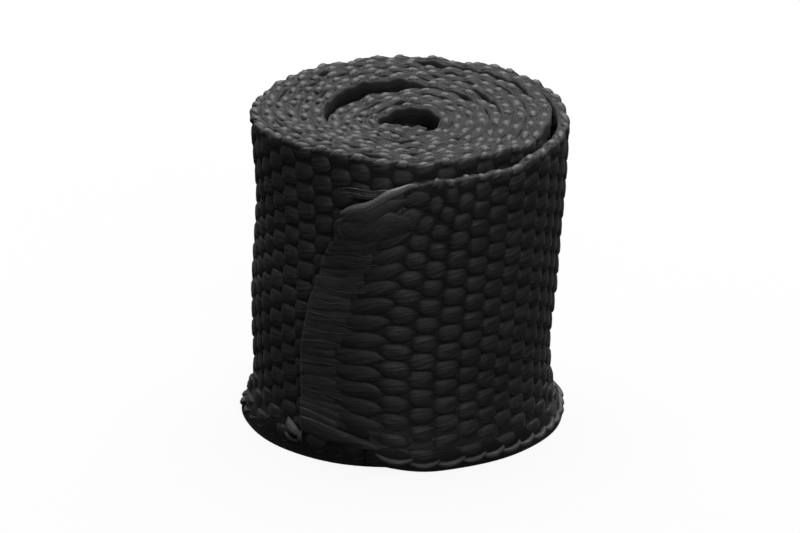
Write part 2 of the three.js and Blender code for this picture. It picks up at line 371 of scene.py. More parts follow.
@dataclass(frozen=True)
class Weave:
    """Plain weave of fat warp yarns along the tape over hidden weft yarns across it.

    Attributes:
        column: Length of tape for each weft, which is the length of one float.
        first_columns: The longer floats next to the fray, from the outer end.
        frayed: Length of tape at the outer end that has lost its wefts.
        upper_fray: How much deeper the fray goes near the upper edge.
        warps: Number of warp yarns across the tape.
        lower_margin: Width of the chain edge below the lowest warp.
        upper_margin: Width of the loops above the highest warp.
        swing: How far a warp goes out over a weft.
        half_thickness: Half the thickness of a warp.
        half_width_crossing: Half its width where it dives between two wefts.
        half_width_float: Half its width in the middle of a float.
        edge_width: Share of that width that the first and last warp have.
        exposed_turns: Turns that are woven in full, because their outer face shows.
    """

    shape: RollShape
    column: float = 3.3
    first_columns: tuple[float, ...] = (7.1, 4.4, 3.9, 3.9, 3.5)
    frayed: float = 6.8
    upper_fray: float = 4.5
    warps: int = 30
    lower_margin: float = 1.7
    upper_margin: float = 0.5
    swing: float = 0.42
    half_thickness: float = 0.5
    half_width_crossing: float = 1.0
    half_width_float: float = 1.58
    edge_width: float = 0.62
    exposed_turns: float = 1.36
    seed: int = 11

    @cached_property
    def bounds(self) -> Array:
        """Lengths along the tape where one weft's column ends and the next begins."""
        steps = list(self.first_columns)
        left = self.shape.length - 0.6 - self.frayed - sum(steps)
        steps += [self.column] * int(left / self.column)
        return self.frayed + np.concatenate([[0.0], np.cumsum(steps)])

    @property
    def columns(self) -> int:
        """Number of wefts in the whole tape."""
        return len(self.bounds) - 1

    def fray_shift(self, share: Array) -> Array:
        """How much further in the weave starts at a share of the width."""
        return self.upper_fray * smooth(share, 0.8, 0.93)

    def slanted(self, along: Array, share: Array) -> Array:
        """Length along the tape once the first wefts have slid inward near the upper edge."""
        return along + self.fray_shift(share) * (1.0 - smooth(along, self.frayed, self.frayed + 26.0))

    def warp_share(self, warp: Array) -> Array:
        """Share of the width at which a warp runs."""
        width = self.shape.width
        inside = width - self.lower_margin - self.upper_margin
        return (self.lower_margin + (np.asarray(warp) + 0.5) * inside / self.warps) / width

    def chance(self, kind: int, warp: Array, column: Array) -> Array:
        """A chance value from -1 to 1 for each float."""
        rng = np.random.default_rng(self.seed + kind)
        return rng.uniform(-1.0, 1.0, (self.warps + 2, self.columns + 4))[warp, column]

    def under_tail(self, turn: Array, begin: float) -> Array:
        """How far a place lies in the dark under the tail, from 0 at the turn where that begins to 1."""
        return smooth(turn, begin, 0.94) * (1.0 - smooth(turn, 1.3, self.exposed_turns))

    def warp_tubes(
        self, skin: Skin, warps: range, first: int, last: int, phases: tuple[float, ...], sides: int
    ) -> None:
        """Adds the warp yarns of some columns as undulating flat tubes.

        Args:
            skin: Takes the tubes.
            warps: The warps to make, counted from the lower edge.
            first: First column.
            last: Column to stop before.
            phases: Where each column gets its rings, from 0 at its start to 1 at its end.
            sides: Points in each ring.
        """
        warp = np.array(list(warps))[:, None]
        steps = len(phases)
        ring = np.arange((last - first) * steps + 1)[None, :]
        column = np.minimum(first + ring // steps, last - 1)
        phase = np.where(ring == (last - first) * steps, 1.0, np.array(phases)[ring % steps])
        start, end = self.bounds[column], self.bounds[column + 1]
        share = self.warp_share(warp)
        along = self.slanted(start + (end - start) * phase, share)
        over = np.where((warp + column) % 2 == 0, 1.0, -1.0)
        swell = np.sin(math.pi * phase)
        fresh = 0.7 + 0.3 * smooth(column, 0.0, 3.0)
        square = 0.32 + 0.5 * (1.0 - smooth(column, 0.0, 3.0))
        edge = np.where((warp == 0) | (warp == self.warps - 1), self.edge_width, 1.0)
        size = 1.0 + 0.07 * self.chance(0, warp, column)
        middle = over * fresh * self.swing * swell**0.55
        narrow = self.half_width_crossing
        wide = (narrow + (self.half_width_float * size - narrow) * swell**square) * edge
        thick = self.half_thickness * (1.0 + 0.08 * self.chance(1, warp, column) * swell)
        lift = (0.08 * over * (phase - 0.5) * 2.0 + 0.09 * self.chance(2, warp, column)) * swell
        angle = around(sides)
        side_up = np.sign(np.cos(angle)) * np.abs(np.cos(angle)) ** 0.62
        side_out = np.sign(np.sin(angle)) * np.abs(np.sin(angle)) ** 0.8
        out = middle[..., None] + thick[..., None] * side_out
        up = lift[..., None] + wide[..., None] * side_up
        turn, share = self.shape.turn_at(along)[..., None], share[..., None]
        inner_end = self.shape.turn_count
        out = out * (1.0 - 0.3 * smooth(turn, inner_end - 1.3, inner_end - 0.9))
        rings = self.shape.point(turn, share, out, up)
        # Painted shade: darker the nearer a point lies to the tape's middle, and towards the warp's edges
        # in the slits.
        unshaded = np.clip((np.abs(out) - 0.05) / 0.75, 0.0, 1.0)
        unshaded = unshaded * np.clip(1.1 - np.abs(side_up) ** 4, 0.0, 1.0)
        # Painted shade on the turns inside the roll, deepening below their upper edge, as in the bore.
        inside = smooth(turn, self.exposed_turns, self.exposed_turns + 0.05) * (share > 0.5)
        depth = (1.0 - share) * self.shape.width - up
        unshaded = unshaded * (1.0 - inside * 0.95 * smooth(depth, 0.4, 1.6))
        tone = (self.chance(3, warp, column)[..., None] + 1.0) / 2.0
        skin.add_tubes(rings, np.broadcast_to(along, (len(warp), along.shape[1])), 5.0, unshaded, tone)


class Finish(Enum):
    """The materials of the tape's yarns and of the floor. The selvedge yarn is partly, and the rolled
    fibre wholly, lightened by painted highlight.
    """

    WARP = "warp_yarn"
    SELVEDGE_AND_HIGHLIGHT = "selvedge_yarn_and_highlight"
    FRAYED = "frayed_fibre"
    ROLLED_HIGHLIGHT = "rolled_fibre_highlight"
    WEFT = "weft_yarn"
    FLOOR = "studio_floor"


class Nodes:
    """Short helper to lay out the nodes of one tree."""

    def __init__(self, tree: bpy.types.NodeTree) -> None:
        """Takes the tree and empties it."""
        self.tree = tree
        tree.nodes.clear()

    def add(self, kind: str, **settings: object) -> bpy.types.Node:
        """Adds a node. Settings are its properties or its inputs, and a socket is linked to its input.

        Args:
            kind: The node's type without its common start.
            settings: Values by property name, or by input name with underscores for spaces.

        Returns:
            The new node.
        """
        node = self.tree.nodes.new(kind if kind.startswith("NodeGroup") else "ShaderNode" + kind)
        for key, value in settings.items():
            if isinstance(value, bpy.types.NodeSocket):
                self.join(value, node.inputs[key.replace("_", " ")])
            elif hasattr(node, key):
                setattr(node, key, value)
            else:
                node.inputs[key.replace("_", " ")].default_value = value
        return node

    def join(self, source: bpy.types.NodeSocket, target: bpy.types.NodeSocket) -> None:
        """Links an output to an input."""
        self.tree.links.new(source, target)

    def maths(self, operation: str, first: Value, second: Value) -> bpy.types.NodeSocket:
        """Adds a Math node. Each side is a socket or a number."""
        node = self.tree.nodes.new("ShaderNodeMath")
        node.operation = operation
        for socket, value in zip(node.inputs, (first, second)):
            if isinstance(value, (int, float)):
                socket.default_value = value
            else:
                self.join(value, socket)
        return node.outputs[0]

    def blend(self, share: Value, first: Value, second: Value) -> bpy.types.NodeSocket:
        """Mixes two colours, each a socket or a colour."""
        node = self.tree.nodes.new("ShaderNodeMix")
        node.data_type = "RGBA"
        for index, value in ((0, share), (6, first), (7, second)):
            socket = node.inputs[index]
            if isinstance(value, bpy.types.NodeSocket):
                self.join(value, socket)
            elif isinstance(value, float):
                socket.default_value = value
            else:
                socket.default_value = (*value, 1.0)
        return node.outputs[2]


def fibre_group() -> bpy.types.ShaderNodeTree:
    """Makes the group that draws fine fibres along a yarn.

    Returns:
        A group with inputs Place, Along, Across and Twist and outputs Fibre, Strand and Height.
    """
    tree = bpy.data.node_groups.new("yarn_fibres", "ShaderNodeTree")
    interface = tree.interface
    interface.new_socket("Place", in_out="INPUT", socket_type="NodeSocketVector")
    for name, value in (("Along", 3.0), ("Across", 60.0), ("Twist", 0.08)):
        interface.new_socket(name, in_out="INPUT", socket_type="NodeSocketFloat").default_value = value
    for name in ("Fibre", "Strand", "Height"):
        interface.new_socket(name, in_out="OUTPUT", socket_type="NodeSocketFloat")
    nodes = Nodes(tree)
    inside, outside = nodes.add("NodeGroupInput"), nodes.add("NodeGroupOutput")
    split = nodes.add("SeparateXYZ", Vector=inside.outputs["Place"])
    x, y = split.outputs[0], split.outputs[1]
    turned = nodes.maths("ADD", y, nodes.maths("MULTIPLY", x, inside.outputs["Twist"]))
    along = nodes.maths("MULTIPLY", x, inside.outputs["Along"])
    across = nodes.maths("MULTIPLY", turned, inside.outputs["Across"])
    spread = nodes.add("CombineXYZ", X=along, Y=across).outputs[0]
    wide = nodes.add("VectorMath", operation="SCALE", Scale=0.3, Vector=spread).outputs[0]
    plane = {"noise_dimensions": "2D", "Scale": 1.0}
    fine = nodes.add("TexNoise", **plane, Detail=3.0, Roughness=0.6, Vector=spread).outputs[0]
    broad = nodes.add("TexNoise", **plane, Detail=1.0, Roughness=0.5, Vector=wide).outputs[0]
    height = nodes.maths("ADD", nodes.maths("MULTIPLY", fine, 0.6), nodes.maths("MULTIPLY", broad, 0.9))
    for name, value in (("Fibre", fine), ("Strand", broad), ("Height", height)):
        nodes.join(value, outside.inputs[name])
    return tree


def drift_group() -> bpy.types.ShaderNodeTree:
    """Makes the group for the slow changes of colour over the roll.

    Returns:
        A group with the input Patch and the output Faded.
    """
    tree = bpy.data.node_groups.new("cloth_drift", "ShaderNodeTree")
    interface = tree.interface
    interface.new_socket("Patch", in_out="INPUT", socket_type="NodeSocketFloat").default_value = 90.0
    interface.new_socket("Faded", in_out="OUTPUT", socket_type="NodeSocketFloat")
    nodes = Nodes(tree)
    inside, outside = nodes.add("NodeGroupInput"), nodes.add("NodeGroupOutput")
    place = nodes.add("TexCoord").outputs["Object"]
    patch = nodes.add("TexNoise", Detail=3.0, Roughness=0.6, Vector=place, Scale=inside.outputs["Patch"])
    nodes.join(patch.outputs[0], outside.inputs["Faded"])
    return tree


@dataclass(frozen=True)
class YarnFinish:
    """Black glass-fibre yarn.

    Attributes:
        name: The material's name.
        deep: Painted shade colour, for the slits between yarns and wherever a point is marked as shaded.
        face: Colour of a yarn's body.
        bright: Colour of single fibres that catch the light.
        rough: Lowest and highest roughness.
        relief: Depth of the fibre relief, in metres.
        sheen: Weight of the soft sheen of loose fibres.
    """

    name: Finish
    face: Place
    bright: Place
    rough: tuple[float, float]
    deep: Place = (0.006, 0.006, 0.0065)
    relief: float = 0.00012
    sheen: float = 0.08
    along: float = 3.0
    across: float = 55.0

    def material(self, fibres: bpy.types.NodeTree, drift: bpy.types.NodeTree) -> bpy.types.Material:
        """Builds the material.

        Args:
            fibres: The group from fibre_group.
            drift: The group from drift_group.

        Returns:
            The finished material.
        """
        material = bpy.data.materials.new(self.name.value)
        material.use_nodes = True
        nodes = Nodes(material.node_tree)
        place = nodes.add("UVMap", uv_map="yarn").outputs[0]
        size = {"Place": place, "Along": self.along, "Across": self.across}
        fibre = nodes.add("Group", node_tree=fibres, **size).outputs
        cloth = nodes.add("Group", node_tree=drift).outputs["Faded"]
        unshaded = nodes.add("Attribute", attribute_name="unshaded").outputs["Fac"]
        tone = nodes.add("Attribute", attribute_name="tone").outputs["Fac"]
        streak = nodes.add("MapRange", From_Min=0.42, From_Max=0.72, Value=fibre["Fibre"]).outputs[0]
        light = nodes.maths("ADD", nodes.maths("MULTIPLY", tone, 0.5), 0.3)
        body = nodes.blend(nodes.maths("MULTIPLY", streak, light), self.face, self.bright)
        limits = {"From_Min": 0.35, "From_Max": 0.7, "To_Min": 0.8, "To_Max": 1.25}
        faded = nodes.add("MapRange", **limits, Value=cloth).outputs[0]
        scaled = nodes.add("VectorMath", operation="SCALE", Vector=body, Scale=faded).outputs[0]
        # Painted shade: the colour goes to the deep colour where a point is marked as shaded.
        colour = nodes.blend(unshaded, self.deep, scaled)
        low, high = self.rough
        rough = nodes.add("MapRange", To_Min=high, To_Max=low, Value=fibre["Strand"]).outputs[0]
        relief = nodes.add("Bump", Strength=1.0, Distance=self.relief, Height=fibre["Height"]).outputs[0]
        shader = nodes.add("BsdfPrincipled", IOR=1.5, Sheen_Weight=self.sheen, Sheen_Roughness=0.4)
        for name, value in (("Base Color", colour), ("Roughness", rough), ("Normal", relief)):
            nodes.join(value, shader.inputs[name])
        nodes.add("OutputMaterial", Surface=shader.outputs[0])
        return material


@dataclass(frozen=True)
class FloorFinish:
    """Plain white floor that throws no light back on the dark cloth.

    Attributes:
        colour: The floor's colour.
        glow: How much of its white is its own, so that shadows on it stay faint.
    """

    colour: tuple[float, float, float] = (0.9, 0.9, 0.9)
    glow: float = 0.9

    def material(self) -> bpy.types.Material:
        """Builds the floor's material, with a trace of unevenness."""
        material = bpy.data.materials.new(Finish.FLOOR.value)
        material.use_nodes = True
        nodes = Nodes(material.node_tree)
        grain = nodes.add("TexNoise", Scale=6.0, Detail=2.0).outputs[0]
        tint = nodes.blend(grain, self.colour, tuple(0.98 * x for x in self.colour))
        plain = nodes.add("BsdfDiffuse", Roughness=0.9, Color=tint).outputs[0]
        light = nodes.add("Emission", Color=(1.0, 1.0, 1.0, 1.0), Strength=1.0).outputs[0]
        black = nodes.add("BsdfDiffuse", Color=(0.0, 0.0, 0.0, 1.0)).outputs[0]
        camera = nodes.add("LightPath").outputs["Is Camera Ray"]
        pale, seen = nodes.add("MixShader", Fac=self.glow), nodes.add("MixShader", Fac=camera)
        for mix, first, second in ((pale, plain, light), (seen, black, pale.outputs[0])):
            nodes.join(first, mix.inputs[1])
            nodes.join(second, mix.inputs[2])
        nodes.add("OutputMaterial", Surface=seen.outputs[0])
        return material


class Workshop:
    """Keeps the materials and puts each finished piece on the body."""

    def __init__(self) -> None:
        """Makes the shared groups and the materials."""
        fibres, drift = fibre_group(), drift_group()
        shades = (
            (Finish.WARP, (0.022, 0.022, 0.023), (0.075, 0.075, 0.078), (0.42, 0.68), {}),
            # The selvedge yarn is lighter than the warp yarn: partly its own greyer colour, partly
            # painted highlight on the loops along both edges.
            (Finish.SELVEDGE_AND_HIGHLIGHT, (0.042, 0.042, 0.043), (0.15, 0.15, 0.152), (0.38, 0.62), {}),
            (
                Finish.FRAYED,
                (0.03, 0.03, 0.031),
                (0.085, 0.085, 0.087),
                (0.42, 0.62),
                {"relief": 0.00007, "across": 60.0},
            ),
            # The rolled fibre is a lighter copy of the frayed fibre: painted highlight on the curled
            # bundles.
            (Finish.ROLLED_HIGHLIGHT, (0.07, 0.07, 0.071), (0.2, 0.2, 0.202), (0.34, 0.5), {"relief": 0.00008}),
            (Finish.WEFT, (0.021, 0.021, 0.0212), (0.06, 0.06, 0.061), (0.55, 0.8), {}),
        )
        finishes = [
            YarnFinish(name, face=face, bright=bright, rough=rough, **more)
            for name, face, bright, rough, more in shades
        ]
        self.materials = {finish.name: finish.material(fibres, drift) for finish in finishes}

    def place(self, skin: Skin, name: str, finish: Finish) -> bpy.types.Object:
        """Makes the piece, gives it its finish and puts it on the body.

        Args:
            skin: The piece's tubes.
            name: The piece's name.
            finish: Which finish it gets.

        Returns:
            The new object.
        """
        mesh = skin.mesh(name)
        mesh.materials.append(self.materials[finish])
        piece = bpy.data.objects.new(name, mesh)
        bpy.context.scene.collection.objects.link(piece)
        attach(piece, BODY)
        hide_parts(NODE)
        LOG.info("%s: %d faces", name, len(mesh.polygons))
        return piece


@dataclass
class OuterWrap:
    """The outermost turn and a third, woven in full."""

    weave: Weave
    band_warps: int = 10
    phases: tuple[float, ...] = (0.0, 0.06, 0.18, 0.37, 0.63, 0.82, 0.94)

    @property
    def last_column(self) -> int:
        """Column at which the full weave stops."""
        weave = self.weave
        return int(np.searchsorted(weave.bounds, weave.shape.length_at(weave.exposed_turns)))

    def build(self, shop: Workshop) -> None:
        """Makes the warps in three bands."""
        for band, label in enumerate(("lower", "middle", "upper")):
            warps = range(band * self.band_warps, (band + 1) * self.band_warps)
            skin = Skin()
            self.weave.warp_tubes(skin, warps, 0, self.last_column, self.phases, 12)
            shop.place(skin, f"outer_weave_{label}", Finish.WARP)


@dataclass
class InnerTurns:
    """The turns inside the roll, of which only the edges show."""

    weave: Weave
    first_column: int
    upper_rows: int = 4
    lower_rows: int = 3
    phases: tuple[float, ...] = (0.0, 0.08, 0.26, 0.5, 0.74, 0.92)

    def build(self, shop: Workshop) -> None:
        """Makes the warps next to both edges."""
        top = range(self.weave.warps - self.upper_rows, self.weave.warps)
        for label, warps in (("upper", top), ("lower", range(0, self.lower_rows))):
            skin = Skin()
            self.weave.warp_tubes(skin, warps, self.first_column, self.weave.columns, self.phases, 8)
            shop.place(skin, f"inner_edges_{label}", Finish.WARP)


@dataclass
class WeftBody:
    """The weft yarns side by side, as one band inside the tape that meets the next turn at the top, in
    painted shade below its upper edge.

    Attributes:
        half_thickness: Half its thickness between the warps.
        open_half_thickness: The same near the upper edge, on a face that shows.
        packed_half_thickness: The same near the upper edge, where the next turn touches.
        bore_half_thickness: The same near the upper edge, towards the bore.
        foot_half_thickness: The same at the lower edge, below the chain.
        below_loops: How far it stays below the tops of the loops.
        packed_height: Height of its thick part.
        exposed_turns: Turns whose outer face shows.
    """

    weave: Weave
    half_thickness: float = 0.3
    open_half_thickness: float = 0.55
    packed_half_thickness: float = 1.02
    bore_half_thickness: float = 0.95
    foot_half_thickness: float = 0.8
    below_loops: float = 0.68
    packed_height: float = 2.2
    exposed_turns: float = 1.33
    levels: int = 15
    ridge_points: int = 17
    steps: int = 2200
    ridge_height: float = 0.22

    def build(self, shop: Workshop) -> None:
        """Makes the band from the fray to the inner end."""
        shape = self.weave.shape
        start = self.weave.frayed + self.weave.upper_fray + 1.0
        along = np.linspace(start, shape.length - 0.4, self.steps)
        turn = shape.turn_at(along)
        low, high = 0.04 / shape.width, 1.0 - self.below_loops / shape.width
        shares = low + (high - low) * np.sin(0.5 * math.pi * np.linspace(0.0, 1.0, self.levels)) ** 1.2
        across = np.linspace(1.0, -1.0, self.ridge_points)[1:-1]
        wall = np.ones(self.levels)
        share = np.concatenate([shares, np.full(len(across), high), shares[::-1]])
        side = np.concatenate([wall, across, -wall])
        ridges = self.ridge_height * np.abs(np.sin(1.5 * math.pi * (across + 1.0)))
        ridge = np.concatenate([0.0 * wall, ridges, 0.0 * wall])
        height = (1.0 - share) * shape.width
        packed = 1.0 - smooth(height, self.packed_height, self.packed_height + 2.5)
        outer, inner = self._edge_thickness(turn)
        edge = inner[:, None] + (outer - inner)[:, None] * (side + 1.0) / 2.0
        thick = self.half_thickness + (edge - self.half_thickness) * packed
        foot = 1.0 - smooth(share * shape.width, 0.3, 0.75)
        thick = thick + (self.foot_half_thickness - self.half_thickness) * foot
        wavy = 0.12 * np.sin(2.0 * math.pi * along / self.weave.column)[:, None] * packed + ridge
        rings = shape.point(turn[:, None], share, side * thick, wavy)[None]
        skin = Skin()
        # Painted shade on all of the band except its top 0.7 to 1.5 mm.
        skin.add_tubes(rings, along[None], 100.0, 0.02 + 0.93 * (1.0 - smooth(height, 0.7, 1.5)), 0.5)
        piece = shop.place(skin, "weft_body", Finish.WEFT)
        shape.length * MILLIMETRE

    def _edge_thickness(self, turn: Array) -> tuple[Array, Array]:
        """Half thickness near the upper edge at each turn, towards the outside and towards the axis."""
        shows = 1.0 - smooth(turn, self.exposed_turns - 0.04, self.exposed_turns)
        inner_end = self.weave.shape.turn_count
        last = smooth(turn, inner_end - 1.15, inner_end - 1.0)
        packed = self.packed_half_thickness
        outer = packed + (self.open_half_thickness - packed) * shows + self._gap_filling(turn)
        return outer, packed + (self.bore_half_thickness - packed) * last

    def _gap_filling(self, turn: Array) -> Array:
        """Extra thickness that closes the gap outside the inner turns, save at the back left."""
        shape = self.weave.shape
        first = smooth(turn, shape.inner_group_turn - 0.35, shape.inner_group_turn)
        past = 1.0 - smooth(turn, shape.inner_group_turn + 0.8, shape.inner_group_turn + 1.2)
        beside = np.cos(shape.azimuth(turn, 0.0) - math.radians(shape.inner_group_azimuth))
        return shape.inner_group_shift * (1.0 + beside) * first * past * (1.0 - smooth(beside, 0.35, 0.8))


@dataclass
class UpperLoops:
    """The weft's turn-arounds along the tape's upper edge: one loop over the edge for each weft.

    Attributes:
        half_length: Half the loop's length along the tape.
        reach: How far a loop stands out to each side of the tape's middle.
        drop: How far its ends come down on the faces.
        crown: How far its middle stands above its sides, seen along the tape.
    """

    weave: Weave
    half_length: float = 0.98
    reach: float = 0.88
    drop: float = 0.9
    crown: float = 0.28
    tube: float = 0.32
    rings: int = 9
    sides: int = 10

    def build(self, shop: Workshop) -> None:
        """Makes all the loops as one piece."""
        weave, shape = self.weave, self.weave.shape
        column = np.arange(1, weave.columns)
        rng = np.random.default_rng(21)
        size, lift, shift, tone, lean = (rng.uniform(-1.0, 1.0, (len(column), 1, 1)) for _ in range(5))
        centre = ((weave.bounds[column] + weave.bounds[column + 1]) / 2.0)[:, None, None] + 0.2 * shift
        arc = np.linspace(-0.12 * math.pi, 1.12 * math.pi, self.rings)[:, None]
        angle = around(self.sides)[None, :]
        taper = np.sin(np.linspace(0.1, 0.9, self.rings) * math.pi)
        taper = np.sqrt(np.clip(taper, 0.0, 1.0))[:, None]
        length = self.half_length * (0.55 + 0.45 * taper) * np.sin(angle)
        crown = self.crown * (np.sin(angle) ** 2) * taper
        tube = self.tube * np.cos(angle)
        out = (self.reach - self.tube) * np.cos(arc) + tube * np.cos(arc)
        up = -self.drop + (self.drop - self.tube) * np.sin(arc) + tube * np.sin(arc) - crown
        scale = 1.0 + 0.14 * size
        leaning = 0.5 * (1.0 + 1.4 * lean) * (arc[None] / math.pi - 0.5)
        turn = shape.turn_at(weave.slanted(centre + scale * length[None] + leaning, 1.0))
        slim = 1.0 - 0.2 * smooth(turn, shape.turn_count - 1.1, shape.turn_count - 0.6)
        rings = shape.point(turn, 1.0, slim * (out[None] + 0.08 * lean), up[None] * scale + 0.14 * lift)
        # Painted shade: the lower a point lies on the loop, the darker it is.
        unshaded = np.clip(0.45 + 0.6 * (up[None] + 1.0), 0.0, 1.0)
        run = np.linspace(0.0, 3.4, self.rings) + centre[:, :, 0]
        skin = Skin()
        skin.add_tubes(rings, run, 5.0, unshaded, (tone + 1.0) / 2.0)
        shop.place(skin, "upper_edge_loops", Finish.SELVEDGE_AND_HIGHLIGHT)


@dataclass
class LowerChain:
    """The weft's turn-arounds along the tape's lower edge: fat crescents that overlap like rope strands.

    Attributes:
        sag: Height of the middle of a crescent above the tape's lower edge.
        rise: Height of its two ends.
        tilt: How far its inner end stands above that and its outer end below.
        tube: Half the thickness of the yarn.
        lock_tube: The same for the thin yarn behind it.
    """

    weave: Weave
    sag: float = 0.95
    rise: float = 1.5
    tilt: float = 0.22
    tube: float = 0.52
    lock_tube: float = 0.26
    rings: int = 13
    sides: int = 8

    def build(self, shop: Workshop) -> None:
        """Makes the crescents and the yarn that holds them as one piece."""
        weave = self.weave
        column = np.arange(1, weave.columns)
        rng = np.random.default_rng(31)
        tone, swing, deep = (rng.uniform(-1.0, 1.0, (len(column), 1, 1)) for _ in range(3))
        start, end = weave.bounds[column][:, None, None], weave.bounds[column + 1][:, None, None]
        skin = Skin()
        step, angle = np.linspace(-1.0, 1.0, self.rings)[:, None], around(self.sides)[None, :]
        centre = (start + end) / 2.0
        hidden = weave.under_tail(weave.shape.turn_at(centre), 0.86)
        size = self.tube * (1.0 - 0.45 * step**2) * (1.0 - 0.55 * hidden)
        along = centre + 0.6 * (end - start) * step
        up = self.sag + (self.rise - self.sag) * step**2 + self.tilt * step + size * np.cos(angle)
        turn = weave.shape.turn_at(along)
        shaded = weave.under_tail(turn, 0.84)
        out = 0.5 - 0.5 * step**2 + 0.2 * step + 1.1 * size * np.sin(angle) - 0.35 * shaded
        rings = self._points(along, out + 0.08 * swing, up * (1.0 + 0.1 * deep))
        left = smooth(turn, 0.62, 0.8)
        # Painted shade: darker towards a crescent's ends and by 0.4 from turn 0.62 inward, and a painted
        # shadow, almost black, under the tail.
        shade = (0.95 - 0.35 * step**2) * (1.0 - 0.4 * left) * (1.0 - 0.92 * shaded)
        skin.add_tubes(rings, centre[:, :, 0] + 3.0 * step[:, 0], 2.3, shade, (tone + 1.0) / 2.0)
        self._lock_yarn(skin, centre, tone)
        shop.place(skin, "lower_edge_chain", Finish.SELVEDGE_AND_HIGHLIGHT)

    def _lock_yarn(self, skin: Skin, centre: Array, tone: Array) -> None:
        """Adds the yarn that runs behind the crescents and locks them, dipping between them."""
        step, angle = np.linspace(-1.0, 1.0, 9)[:, None], around(self.sides)[None, :]
        along = centre + 0.62 * self.weave.column * step + 0.2 * np.cos(angle) * step
        up = 0.95 - 0.45 * step**2 + self.lock_tube * np.cos(angle)
        out = -0.42 + 0.5 * step**2 + self.lock_tube * np.sin(angle)
        rings = self._points(along, out, up)
        # Painted shade, darkest in the middle, where the yarn runs behind the crescents.
        shade = 0.05 + 0.25 * np.abs(step)
        skin.add_tubes(rings, centre[:, :, 0] + 2.0 * step[:, 0], 2.0, shade, (tone + 1.0) / 2.0)

    def _points(self, along: Array, out: Array, up: Array) -> Array:
        """Points by length along the tape, distance out and height above the lower edge."""
        return self.weave.shape.point(self.weave.shape.turn_at(along), 0.0, out, up)


@dataclass(frozen=True)
class Lock:
    """One thick bundle of loose fibres that lies on the frayed end.

    Attributes:
        name: What the bundle is.
        along: Lengths along the tape from its outer end, from the bundle's root to its tip.
        height: Heights above the floor at those places.
        out: Distances out from the tape's middle at those places.
        wide: Half widths across the bundle at those places.
        thick: Half thicknesses at those places.
        tone: How light the fibres are. At 1 the bundle takes the rolled fibre material, whose extra
            lightness is a painted highlight.
    """

    name: str
    along: tuple[float, ...]
    height: tuple[float, ...]
    out: tuple[float, ...]
    wide: tuple[float, ...]
    thick: tuple[float, ...]
    tone: float = 0.6


LOCKS = (
    Lock(
        "broad_fan",
        along=(15.5, 12.5, 8.5, 4.5, 1.8, 0.2, -0.6),
        height=(41.3, 41.6, 41.7, 41.2, 40.8, 40.6, 40.5),
        out=(0.4, 0.8, 1.0, 1.05, 1.05, 1.0, 0.9),
        wide=(0.4, 1.5, 2.4, 2.5, 2.1, 1.5, 0.6),
        thick=(0.15, 0.34, 0.42, 0.42, 0.38, 0.34, 0.22),
        tone=0.6,
    ),
    Lock(
        "fan_under_roll",
        along=(12.5, 9.0, 6.0, 3.0, 0.8, -0.4),
        height=(45.6, 45.0, 44.1, 43.1, 42.4, 42.1),
        out=(0.4, 0.9, 1.15, 1.2, 1.15, 0.95),
        wide=(0.3, 1.1, 1.5, 1.4, 0.9, 0.35),
        thick=(0.15, 0.34, 0.4, 0.4, 0.34, 0.18),
        tone=0.8,
    ),
    Lock(
        "rolled_upper_edge",
        along=(15.5, 12.5, 9.4, 6.2, 3.2, 0.6, -0.7),
        height=(48.0, 47.9, 47.1, 45.9, 44.7, 43.6, 43.0),
        out=(0.2, 0.6, 1.0, 1.25, 1.3, 1.2, 1.0),
        wide=(0.2, 0.5, 0.72, 0.82, 0.8, 0.6, 0.25),
        thick=(0.2, 0.45, 0.6, 0.65, 0.6, 0.45, 0.2),
        tone=1.0,
    ),
    Lock(
        "curled_tip",
        along=(3.4, 1.6, 0.2, -0.9, -1.3, -1.0, 0.2),
        height=(38.9, 38.9, 39.2, 39.9, 40.9, 41.7, 42.2),
        out=(0.6, 0.75, 0.8, 0.75, 0.75, 0.8, 0.8),
        wide=(0.3, 0.5, 0.62, 0.68, 0.66, 0.55, 0.25),
        thick=(0.15, 0.26, 0.32, 0.34, 0.32, 0.26, 0.14),
        tone=0.95,
    ),
    Lock(
        "corner_tuft",
        along=(0.5, -0.3, -1.5, -2.9, -3.9),
        height=(3.4, 3.7, 4.1, 4.5, 4.7),
        out=(-1.7, -1.5, -1.6, -2.1, -2.9),
        wide=(0.3, 0.62, 0.75, 0.62, 0.2),
        thick=(0.25, 0.42, 0.48, 0.42, 0.2),
        tone=1.0,
    ),
    Lock(
        "corner_loop",
        along=(-4.8, -4.1, -3.0, -1.7, -0.4, 0.5),
        height=(3.5, 2.9, 2.4, 2.15, 2.2, 2.5),
        out=(-3.2, -2.7, -2.2, -1.7, -1.5, -1.6),
        wide=(0.12, 0.24, 0.28, 0.28, 0.24, 0.12),
        thick=(0.12, 0.22, 0.24, 0.24, 0.22, 0.12),
        tone=0.45,
    ),
    Lock(
        "corner_tie",
        along=(0.7, 0.7, 0.75, 0.8),
        height=(4.1, 3.6, 3.0, 2.4),
        out=(-1.6, -1.2, -1.15, -1.4),
        wide=(0.2, 0.38, 0.4, 0.25),
        thick=(0.15, 0.28, 0.3, 0.15),
        tone=0.8,
    ),
)


